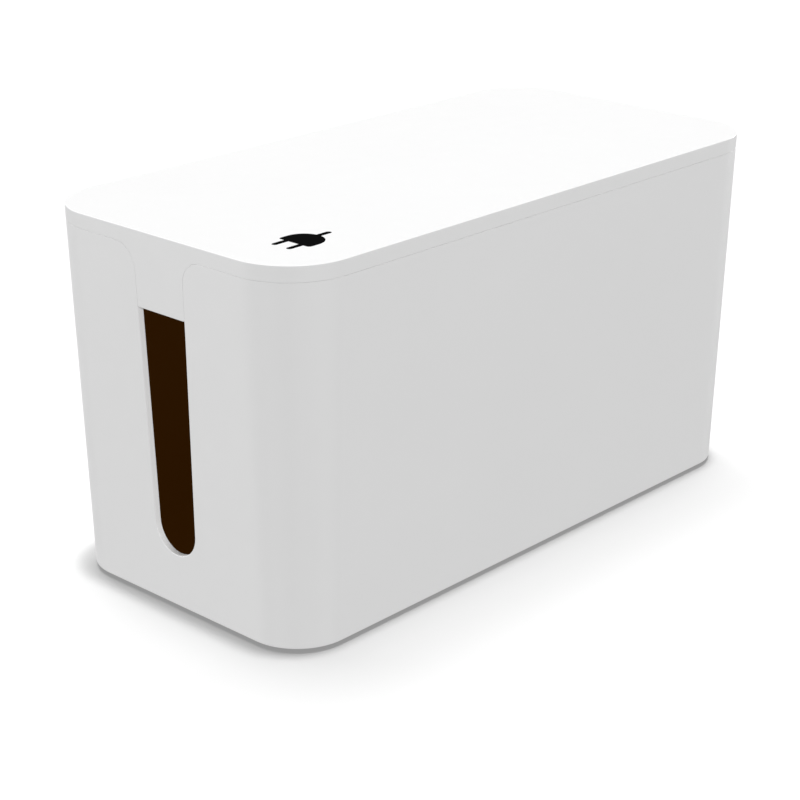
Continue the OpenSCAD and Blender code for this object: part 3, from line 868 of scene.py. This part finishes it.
def revolve(m, cx, cy, profile, n=56, mat=0):
    """Adds a closed solid of revolution about a vertical axis at (cx, cy); profile is (radius, z)."""
    rows = []
    for r, z in profile:
        if r < 1e-6:
            rows.append([m.add([(cx, cy, z)])[0]] * n)
        else:
            rows.append(m.add(circle(cx, cy, r, z, n)))
    for a, b in zip(rows, rows[1:]):
        for i in range(n):
            k = (i + 1) % n
            ids = []
            for q in (a[i], a[k], b[k], b[i]):
                if q not in ids:
                    ids.append(q)
            if len(ids) > 2:
                m.face(ids, mat)


def piece(name, obj, node_names, body):
    if node_names:
        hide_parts(*node_names)
    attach(obj, body)
    return obj


m = Mesh()
foot = round_profile([(0, 2.5), (FOOT_R, 2.5), (FOOT_R, 0.001), (4.2, 0.001), (4.2, 0.25), (3.4, 0.25), (3.4, 0.001), (0, 0.001)], [0, 0.15, 0.7, 0.1, 0.1, 0.1, 0.1, 0], 4)
for sx in (-1, 1):
    for sy in (-1, 1):
        revolve(m, sx * FOOT_X, sy * FOOT_Y, foot)
piece("feet", to_object("feet", m.bm(), [m_foot]), ["rubber_feet"], "box")

# ------------------------------------------------------------------ the strip's two halves


def loft(m, rows_, closed_ends=True, mat=0):
    ids = [m.add(r) for r in rows_]
    m.rows(ids, closed=True, mat=mat)
    if closed_ends:
        m.ngon(list(reversed(ids[0])), mat)
        m.ngon(ids[-1], mat)
    return ids


def block(w, inset, nc=12):
    return rrect(SL / 2 - SRAD, SW / 2 - SRAD, SRAD - inset, SZ + w, nc, (SX + SL / 2, 0.0))


def combine(base_bm, adds, cuts):
    """Exact union with the adds, then exact difference with the cuts."""
    me = bpy.data.meshes.new("tmp_a")
    base_bm.to_mesh(me)
    base_bm.free()
    oa = bpy.data.objects.new("tmp_a", me)
    bpy.context.scene.collection.objects.link(oa)
    tmp = []
    for k, (q, op) in enumerate([(a, "UNION") for a in adds] + [(c, "DIFFERENCE") for c in cuts]):
        b = q.bm()
        mb = bpy.data.meshes.new("tmp_b%d" % k)
        b.to_mesh(mb)
        b.free()
        ob = bpy.data.objects.new("tmp_b%d" % k, mb)
        bpy.context.scene.collection.objects.link(ob)
        mod = oa.modifiers.new("u%d" % k, "BOOLEAN")
        mod.operation = op
        mod.solver = "EXACT"
        mod.object = ob
        mod.material_mode = "INDEX"
        tmp.append(ob)
    dg = bpy.context.evaluated_depsgraph_get()
    out = bmesh.new()
    out.from_object(oa, dg)
    for o_ in [oa] + tmp:
        bpy.data.objects.remove(o_)
    bmesh.ops.dissolve_degenerate(out, edges=out.edges, dist=1e-8)
    return out


BOSS = [(8.5, 17.5), (8.5, -17.5), (94.5, 20), (94.5, -20), (179.5, 17.5), (179.5, -17.5)]
SW_U, BR_U, BR_V, LED_U, LED_V = 21.0, 44.0, -10.0, 44.0, 11.0


def x_cylinder(m, x0, x1, y, z, r, n=64, mat=0):
    a = [(x0, y + r * math.cos(2 * math.pi * i / n), z + r * math.sin(2 * math.pi * i / n)) for i in range(n)]
    b = [(x1, p[1], p[2]) for p in a]
    loft(m, [a, b], mat=mat)


# cover: rounded shoulder, a soft edge at the joint, a hollow below
m = Mesh()
fj, ft = 0.25, 1.4
prof = [(SPLIT, fj)] + [(SPLIT + fj - fj * math.cos(t), fj - fj * math.sin(t)) for t in arc(3)[1:]]
prof += [(lerp(SPLIT + fj, SH - ft, k / 4), 0.0) for k in range(1, 4)]
prof += [(SH - ft + ft * math.sin(t), ft * (1 - math.cos(t))) for t in arc(7)]
inner_w = SH - TOPT
ri = 0.8
inner = [(inner_w - ri + ri * math.sin(t), ST + ri * (1 - math.cos(t))) for t in reversed(arc(3))] + [(SPLIT, ST)]
ids = [m.add(block(w, d)) for w, d in inner + prof]
m.rows(ids, closed=True)
m.ngon(list(reversed(ids[0])))
m.ngon(ids[-1])
adds = Mesh()
for u in OUT_U:
    rows_ = [(31.2, 0.0), (32.4, 0.0)] + [(32.4 + 0.4 * math.sin(t), 0.4 * (1 - math.cos(t))) for t in arc(4)[1:]]
    loft(adds, [rrect(8.5, 11.5, 6.0 - d, SZ + w, 10, (SX + u, 0.0)) for w, d in rows_], mat=1)
bosses = Mesh()
for u, v in BOSS:
    revolve(bosses, SX + u, v, [(0, SZ + SPLIT + 8), (1.45, SZ + SPLIT + 8), (1.45, SZ + SPLIT), (3.4, SZ + SPLIT), (3.4, SZ + 31), (0, SZ + 31)], 32)
cuts = Mesh()


def slot_cut(m, cx, cy, hx, hy, top, ch=0.35, r=0.35):
    rows_ = []
    for w, g_ in ((28.6, 0.0), (top - ch, 0.0), (top, ch), (top + 1.0, ch + 1.0)):
        rows_.append(rrect(hx - r, hy - r, r + g_, SZ + w, 3, (cx, cy)))
    loft(m, rows_, mat=1)


def earth_cut(m, cx, cy, top, ch=0.35):
    rows_ = []
    for w, g_ in ((28.6, 0.0), (top - ch, 0.0), (top, ch), (top + 1.0, ch + 1.0)):
        r = 2.6 + g_
        lp = [(cx + r * math.cos(t), cy + r * math.sin(t), SZ + w) for t in arc(18, -90, 90)]
        lp += [(cx - 2.6 - g_ + 0.3 - 0.3 * math.sin(t), cy + r - 0.3 + 0.3 * math.cos(t), SZ + w) for t in arc(3)]
        lp += [(cx - 2.6 - g_ + 0.3 - 0.3 * math.cos(t), cy - r + 0.3 - 0.3 * math.sin(t), SZ + w) for t in arc(3)]
        rows_.append(lp)
    loft(m, rows_, mat=1)


for u in OUT_U:
    slot_cut(cuts, SX + u - 4.5, 6.35, 3.3, 1.0, 32.8)
    slot_cut(cuts, SX + u - 4.5, -6.35, 4.1, 1.0, 32.8)
    earth_cut(cuts, SX + u + 7.4, 0.0, 32.8)
loft(cuts, [rrect(11.1 - 0.5, 7.6 - 0.5, 0.5, SZ + w, 3, (SX + SW_U, 0.0)) for w in (28.6, 34.0)])
loft(cuts, [circle(SX + BR_U, BR_V, 5.2, SZ + w, 56) for w in (28.6, 34.0)])
loft(cuts, [circle(SX + LED_U, LED_V, r, SZ + w, 40) for r, w in ((2.5, 28.6), (2.5, 31.8), (2.7, 32.0), (2.7, 34.0))])
x_cylinder(cuts, SX - 1.0, SX + 3.0, 0.0, SZ + SPLIT, 6.1)
cover = to_object("strip_cover_moulding", combine(m.bm(), [adds, bosses], [cuts]), [m_strip, m_face], 28.0)
piece("cover", cover, ["strip_cover"], "strip")

# base
m = Mesh()
fbm = 1.0
outer = [(fbm - fbm * math.cos(t), fbm - fbm * math.sin(t)) for t in arc(5)]
outer += [(lerp(fbm, SPLIT - fj, k / 4), 0.0) for k in range(1, 4)]
outer += [(SPLIT - fj + fj * math.sin(t), fj * (1 - math.cos(t))) for t in arc(3)]
inner = [(SPLIT, ST), (3.0, ST)] + [(3.0 - math.sin(t), ST + 1 - math.cos(t)) for t in arc(4)[1:]]
ids = [m.add(block(w, d)) for w, d in outer + inner]
m.rows(ids, closed=True)
m.ngon(list(reversed(ids[0])))
m.ngon(ids[-1])
posts = Mesh()
for u, v in BOSS:
    loft(posts, [circle(SX + u, v, 3.4, SZ + w, 40) for w in (1.0, SPLIT)])
rests = Mesh()
for u in (12, 46):
    for v in (-14, 14):
        loft(rests, [circle(SX + u, v, 2.0, SZ + w, 24) for w in (1.5, 4.5)])
racks = Mesh()
for u in (55, 86.5, 119.5, 152.5, 180):
    bar(racks, (SX + u - 0.75, -11, SZ + 1.5), (SX + u + 0.75, 11, SZ + 14.0), 0.15)
cuts = Mesh()
for u, v in BOSS:
    revolve(cuts, SX + u, v, [(0, SZ - 1), (3.3, SZ - 1), (3.3, SZ), (3.0, SZ + 0.3), (3.0, SZ + 3.0), (1.7, SZ + 3.0), (1.7, SZ + SPLIT + 2), (0, SZ + SPLIT + 2)], 40)
for u in (22, 166):
    for v in (-18, 18):
        revolve(cuts, SX + u, v, [(0, SZ - 1), (4.25, SZ - 1), (4.25, SZ), (4.1, SZ + 0.15), (4.1, SZ + 0.5), (0, SZ + 0.5)], 40)
x_cylinder(cuts, SX - 1.0, SX + 3.0, 0.0, SZ + SPLIT, 6.1)
base = to_object("strip_base_moulding", combine(m.bm(), [posts, rests, racks], [cuts]), [m_strip], 28.0)
piece("base", base, ["strip_base"], "strip")

# ------------------------------------------------------------------ switch, breaker, lens, gland

# housing and bezel in one, from the floor of the well up, over and down
m = Mesh()
c_ = (SX + SW_U, 0.0)


def box_loop(hx, hy, r, w):
    return rrect(hx - r, hy - r, r, SZ + w, 6, c_)


rows_ = [box_loop(9.2, 6.2, 0.4, 18.0), box_loop(9.2, 6.2, 0.4, 33.1)]
rows_ += [box_loop(9.2 + 0.3 * (1 - math.cos(t)), 6.2 + 0.3 * (1 - math.cos(t)), 0.4 + 0.3 * (1 - math.cos(t)), 33.1 + 0.3 * math.sin(t)) for t in arc(3)[1:]]
rows_ += [box_loop(13 - 0.5 + 0.5 * math.sin(t), 9.3 - 0.5 + 0.5 * math.sin(t), 1.5 + 0.5 * math.sin(t), 33.4 - 0.5 * (1 - math.cos(t))) for t in arc(4)]
rows_ += [box_loop(13, 9.3, 2.0, 32.0), box_loop(10.9, 7.4, 0.5, 32.0), box_loop(10.9, 7.4, 0.5, 16.3), box_loop(10.6, 7.1, 0.4, 16.0)]
ids = [m.add(r) for r in rows_]
m.rows(ids, closed=True)
m.ngon(list(reversed(ids[0])))
m.ngon(ids[-1])
bore = Mesh()
n_ = 40
PZ = SZ + SH - 0.8
a = [(c_[0] + 1.26 * math.cos(2 * math.pi * i / n_), -7.4 - 0.6, PZ + 1.26 * math.sin(2 * math.pi * i / n_)) for i in range(n_)]
loft(bore, [a, [(p[0], 8.0, p[2]) for p in a]])
housing = to_object("switch_housing_moulding", combine(m.bm(), [], [bore]), [m_bezel], 28.0)
piece("housing", housing, ["switch_housing"], "strip")


def rocker_top(x):
    return 2.3 + 0.05077 * abs(x) + 0.01909 * x * x


def tilt(m, deg=9.0):
    c, s_ = math.cos(RAD(deg)), math.sin(RAD(deg))
    m.v = [(c_[0] + x * c + z * s_, y, PZ - x * s_ + z * c) for x, y, z in m.v]


rk = bmesh.new()
top = [(lerp(-8.2, 8.2, k / 14), rocker_top(lerp(-8.2, 8.2, k / 14))) for k in range(15)]
outline = top + [(7.6, -1.2), (5, -4.2), (1.2, -6.4), (-1.2, -6.4), (-5, -4.2), (-7.6, -1.2)]
va = [rk.verts.new((x, -5.95, z)) for x, z in outline]
vb = [rk.verts.new((x, 5.95, z)) for x, z in outline]
rk.faces.new(va)
rk.faces.new(list(reversed(vb)))
for k in range(len(outline)):
    q = (k + 1) % len(outline)
    rk.faces.new((va[q], va[k], vb[k], vb[q]))
bmesh.ops.recalc_face_normals(rk, faces=rk.faces)
sharp = [e for e in rk.edges if len(e.link_faces) == 2 and e.calc_face_angle() > RAD(40)]
bmesh.ops.bevel(rk, geom=sharp, offset=0.45, segments=4, profile=0.5, affect="EDGES", clamp_overlap=True)
m = Mesh()
rk.verts.ensure_lookup_table()
m.v = [tuple(v.co) for v in rk.verts]
for f in rk.faces:
    m.face([v.index for v in f.verts])
rk.free()
stub = Mesh()
for s_ in (-1, 1):
    prof = [(0.0, 5.0), (1.2, 5.0), (1.2, 6.9), (1.0, 7.1), (0.0, 7.1)]
    q = Mesh()
    revolve(q, 0, 0, prof, 28)
    k0 = len(stub.v)
    stub.v += [(p_[0], s_ * p_[2], p_[1] * s_) for p_ in q.v]
    for f in q.f:
        stub.face([i_ + k0 for i_ in f])
tilt(m)
tilt(stub)
rocker = to_object("rocker_cap", combine(m.bm(), [stub], []), [m_red], 30.0)
piece("rocker", rocker, ["switch_rocker"], "rocker")

# the line and the ring printed on the rocker's two ends; at rest the ring's end, +x, is pressed down, which is off
m = Mesh()


def print_patch(m, loops_of):
    """Thin print that follows the rocker's top: loops_of is (outer, inner or None) in x, y."""
    outer_, inner_ = loops_of

    def at(lp, h):
        return m.add([(x, y, rocker_top(x) + h) for x, y in lp])

    lo_o, hi_o = at(outer_, -0.02), at(outer_, 0.03)
    m.strip(lo_o, hi_o, closed=True)
    if inner_:
        lo_i, hi_i = at(inner_, -0.02), at(inner_, 0.03)
        m.strip(hi_i, lo_i, closed=True)
        m.strip(hi_o, hi_i, closed=True)
        m.strip(lo_i, lo_o, closed=True)
    else:
        m.cap([hi_o])
        m.cap([lo_o])


print_patch(m, ([(-4.9 + 0.45 * math.cos(t), 1.6 + 0.45 * math.sin(t)) for t in arc(8, 0, 180)] + [(-4.9 + 0.45 * math.cos(t), -1.6 + 0.45 * math.sin(t)) for t in arc(8, 180, 360)], None))
print_patch(m, ([(4.9 + 1.9 * math.cos(t), 1.9 * math.sin(t)) for t in [2 * math.pi * i / 40 for i in range(40)]], [(4.9 + 1.3 * math.cos(t), 1.3 * math.sin(t)) for t in [2 * math.pi * i / 40 for i in range(40)]]))
tilt(m)
piece("marks", to_object("rocker_marks", m.bm(), [m_mark], 30.0, weighted=False), [], "rocker")

# reset button: collar, stem and a dished, rounded head
prof = [(0, 20.5), (4.0, 20.5), (4.0, 23.0), (2.8, 23.0), (2.8, 35.8), (1.9, 35.8), (0.9, 35.6), (0, 35.55)]
prof = round_profile(prof, [0, 0.2, 0.2, 0.1, 0.55, 0.3, 0.6, 0], 4)
button = lathe("reset_button_cap", prof, (SX + BR_U, BR_V, SZ), [m_button], 56)
piece("button", button, ["reset_button"], "reset")

# hexagonal nut with chamfered corners
m = Mesh()
n_ = 96
ap = 6.9 * math.cos(RAD(30))
rc = ap * 0.985
t30 = math.tan(RAD(28))


def hexr(t):
    return ap / math.cos((t % RAD(60)) - RAD(30))


ang = [2 * math.pi * i / n_ for i in range(n_)]
cx_, cy_ = SX + BR_U, BR_V


def ring_at(rf, zf):
    return m.add([(cx_ + rf(t) * math.cos(t), cy_ + rf(t) * math.sin(t), SZ + zf(t)) for t in ang])


rows_ = [
    ring_at(lambda t: 5.06, lambda t: 32.25),
    ring_at(lambda t: 5.06, lambda t: 33.75),
    ring_at(lambda t: 5.31, lambda t: 34.0),
    ring_at(lambda t: rc, lambda t: 34.0),
    ring_at(lambda t: hexr(t) - 0.03, lambda t: 34.0 - (hexr(t) - rc) * t30),
    ring_at(lambda t: hexr(t), lambda t: 34.0 - (hexr(t) - rc) * t30 - 0.08),
    ring_at(lambda t: hexr(t), lambda t: 32.0 + (hexr(t) - rc) * t30 * 0.5 + 0.05),
    ring_at(lambda t: rc, lambda t: 32.0),
    ring_at(lambda t: 5.31, lambda t: 32.0),
]
m.rows(rows_, closed=True)
m.strip(rows_[-1], rows_[0], closed=True)
nut = to_object("breaker_nut_hex", m.bm(), [m_nut], 24.0)
piece("nut", nut, ["breaker_nut"], "strip")

# lens: light rod, shoulder and a domed cap
dome = [(2.4 * math.cos(t), 32.3 + 0.7 * math.sin(t)) for t in arc(8)]
prof = round_profile([(0, 8.0), (1.5, 8.0), (1.5, 28.4), (3.4, 28.4), (3.4, 29.8), (2.4, 29.8)], [0, 0.15, 0.1, 0.15, 0.15, 0], 3) + dome[:-1] + [(0, 33.0)]
lens = lathe("indicator_lens_cap", prof, (SX + LED_U, LED_V, SZ), [m_lens], 48)
piece("lens", lens, ["indicator_lens"], "strip")

# grommet: outer flange, neck in the wall, inner flange, open bore
prof = [(3.6, 3.4), (3.6, -2.6), (6.6, -2.6), (7.6, -1.6), (7.6, 0.0), (6.0, 0.0), (6.0, 1.8), (7.4, 1.8), (7.4, 3.4), (3.6, 3.4)]
prof = round_profile(prof, [0, 0.6, 0.5, 0.5, 0.1, 0.05, 0.05, 0.1, 0.4, 0], 4)
gr = lathe("cord_grommet_rubber", prof, (SX, 0.0, SZ + SPLIT), [m_gland], 64, axis="x")
piece("gland", gr, ["cord_grommet"], "strip")

# capacitor case and light chip with moulded edges
m = Mesh()
bar(m, (SX + 28, -9.5, SZ + 6.1), (SX + 41, -3.5, SZ + 14.1), 0.55)
piece("cap", to_object("filter_capacitor_case", m.bm(), [m_cap], 30.0), ["filter_capacitor"], "strip")
m = Mesh()
bar(m, (SX + LED_U - 1.6, LED_V - 1.4, SZ + 6.1), (SX + LED_U + 1.6, LED_V + 1.4, SZ + 7.6), 0.2)
piece("chip", to_object("indicator_chip_body", m.bm(), [m_chip], 30.0), ["indicator_chip"], "strip")

# ------------------------------------------------------------------ floor, light, camera

fl = bpy.data.meshes.new("floor")
fb = bmesh.new()
bmesh.ops.create_grid(fb, x_segments=1, y_segments=1, size=12.0)
fb.to_mesh(fl)
fb.free()
floor = bpy.data.objects.new("floor", fl)
bpy.context.scene.collection.objects.link(floor)
m_floor, nt, b = new_mat("floor_white")
b.inputs["Base Color"].default_value = (0.30, 0.30, 0.30, 1)
b.inputs["Roughness"].default_value = 1.0
b.inputs["Specular IOR Level"].default_value = 0.0
# the paper sweep's even glow on the object, which the object's own shadow doesn't dim
glow = node(nt, "ShaderNodeEmission")
glow.inputs["Color"].default_value = (1, 1, 1, 1)
glow.inputs["Strength"].default_value = 0.15
fpath = node(nt, "ShaderNodeLightPath")
fmix = node(nt, "ShaderNodeMixShader")
nt.links.new(fpath.outputs["Is Camera Ray"], fmix.inputs["Fac"])
nt.links.new(glow.outputs["Emission"], fmix.inputs[1])
# light that spreads inside the paper keeps the deepest shadow grey
spread = node(nt, "ShaderNodeEmission")
spread.inputs["Color"].default_value = (1, 1, 1, 1)
spread.inputs["Strength"].default_value = 0.26
fadd = node(nt, "ShaderNodeAddShader")
nt.links.new(b.outputs["BSDF"], fadd.inputs[0])
nt.links.new(spread.outputs["Emission"], fadd.inputs[1])
nt.links.new(fadd.outputs["Shader"], fmix.inputs[2])
nt.links.new(fmix.outputs["Shader"], nt.nodes["Material Output"].inputs["Surface"])
m_floor.cycles.emission_sampling = "NONE"
floor.data.materials.append(m_floor)

world = bpy.data.worlds.new("studio")
bpy.context.scene.world = world
world.use_nodes = True
wn = world.node_tree
bg = wn.nodes["Background"]
bg.inputs["Color"].default_value = (1, 1, 1, 1)
bg.inputs["Strength"].default_value = 0.2
shine_bg = wn.nodes.new("ShaderNodeBackground")
shine_bg.inputs["Color"].default_value = (1, 1, 1, 1)
shine_bg.inputs["Strength"].default_value = 0.855
white_bg = wn.nodes.new("ShaderNodeBackground")
white_bg.inputs["Color"].default_value = (1, 1, 1, 1)
white_bg.inputs["Strength"].default_value = 1.0
lp = wn.nodes.new("ShaderNodeLightPath")
mix = wn.nodes.new("ShaderNodeMixShader")
gmix = wn.nodes.new("ShaderNodeMixShader")
wn.links.new(lp.outputs["Is Glossy Ray"], gmix.inputs["Fac"])
wn.links.new(bg.outputs["Background"], gmix.inputs[1])
wn.links.new(shine_bg.outputs["Background"], gmix.inputs[2])
wn.links.new(lp.outputs["Is Camera Ray"], mix.inputs["Fac"])
wn.links.new(gmix.outputs["Shader"], mix.inputs[1])
wn.links.new(white_bg.outputs["Background"], mix.inputs[2])
wn.links.new(mix.outputs["Shader"], wn.nodes["World Output"].inputs["Surface"])


# the low lights are flagged off the floor, and the paper has lights of its own
on_object = bpy.data.collections.new("all_but_floor")
on_object.objects.link(floor)
on_object.collection_objects[0].light_linking.link_state = "EXCLUDE"
on_floor = bpy.data.collections.new("floor_only")
on_floor.objects.link(floor)
on_floor.collection_objects[0].light_linking.link_state = "INCLUDE"


def sun(name, strength, angle, direction, falls_on):
    """direction is where the light comes from."""
    l = bpy.data.lights.new(name, "SUN")
    l.energy = strength
    l.angle = RAD(angle)
    o = bpy.data.objects.new(name, l)
    bpy.context.scene.collection.objects.link(o)
    o.rotation_mode = "QUATERNION"
    o.rotation_quaternion = Vector(direction).to_track_quat("Z", "Y")
    o.light_linking.receiver_collection = falls_on
    return o


PI = math.pi


def toward(azimuth, elevation):
    a, e = RAD(azimuth), RAD(elevation)
    return (math.sin(a) * math.cos(e), -math.cos(a) * math.cos(e), math.sin(e))


sun("overhead", 0.827 * PI, 12, (0.01, -0.02, 1.0), on_object)
sun("long_side", 0.724 * PI, 14, toward(-15, 8), on_object)
sun("cord_end", 0.317 * PI, 14, toward(-120, 8), on_object)
sun("left_back", 0.305 * PI, 14, toward(-140, 10), on_object)
sun("back", 0.436 * PI, 14, toward(-165, 10), on_object)
sun("far_end", 0.687 * PI, 14, toward(88, 3), on_object)
sun("paper_small", 1.091 * PI, 3, (0.01, -0.02, 1.0), on_floor)
sun("paper_soft", 0.483 * PI, 12, (0.01, -0.02, 1.0), on_floor)
sun("paper_back", 0.399 * PI, 20, toward(180, 75), on_floor)
sun("paper_far", 0.376 * PI, 20, toward(140, 75), on_floor)
sun("paper_right", 0.223 * PI, 30, toward(100, 60), on_floor)
sun("paper_low", 0.262 * PI, 30, toward(160, 15), on_floor)

cam_d = bpy.data.cameras.new("camera")
cam = bpy.data.objects.new("camera", cam_d)
bpy.context.scene.collection.objects.link(cam)
bpy.context.scene.camera = cam
az, el = RAD(-47.088), RAD(21.213)
back = Vector((math.sin(az) * math.cos(el), -math.cos(az) * math.cos(el), math.sin(el)))
cam.location = Vector((-494.525, -449.765, 297.908 + FOOT)) * MM
cam.rotation_mode = "QUATERNION"
cam.rotation_quaternion = back.to_track_quat("Z", "Y")
cam_d.sensor_width = 36.0
cam_d.lens = 91.688
cam_d.clip_start, cam_d.clip_end = 0.01, 50.0
bpy.context.scene.view_settings.view_transform = "Standard"
bpy.context.scene.view_settings.look = "None"
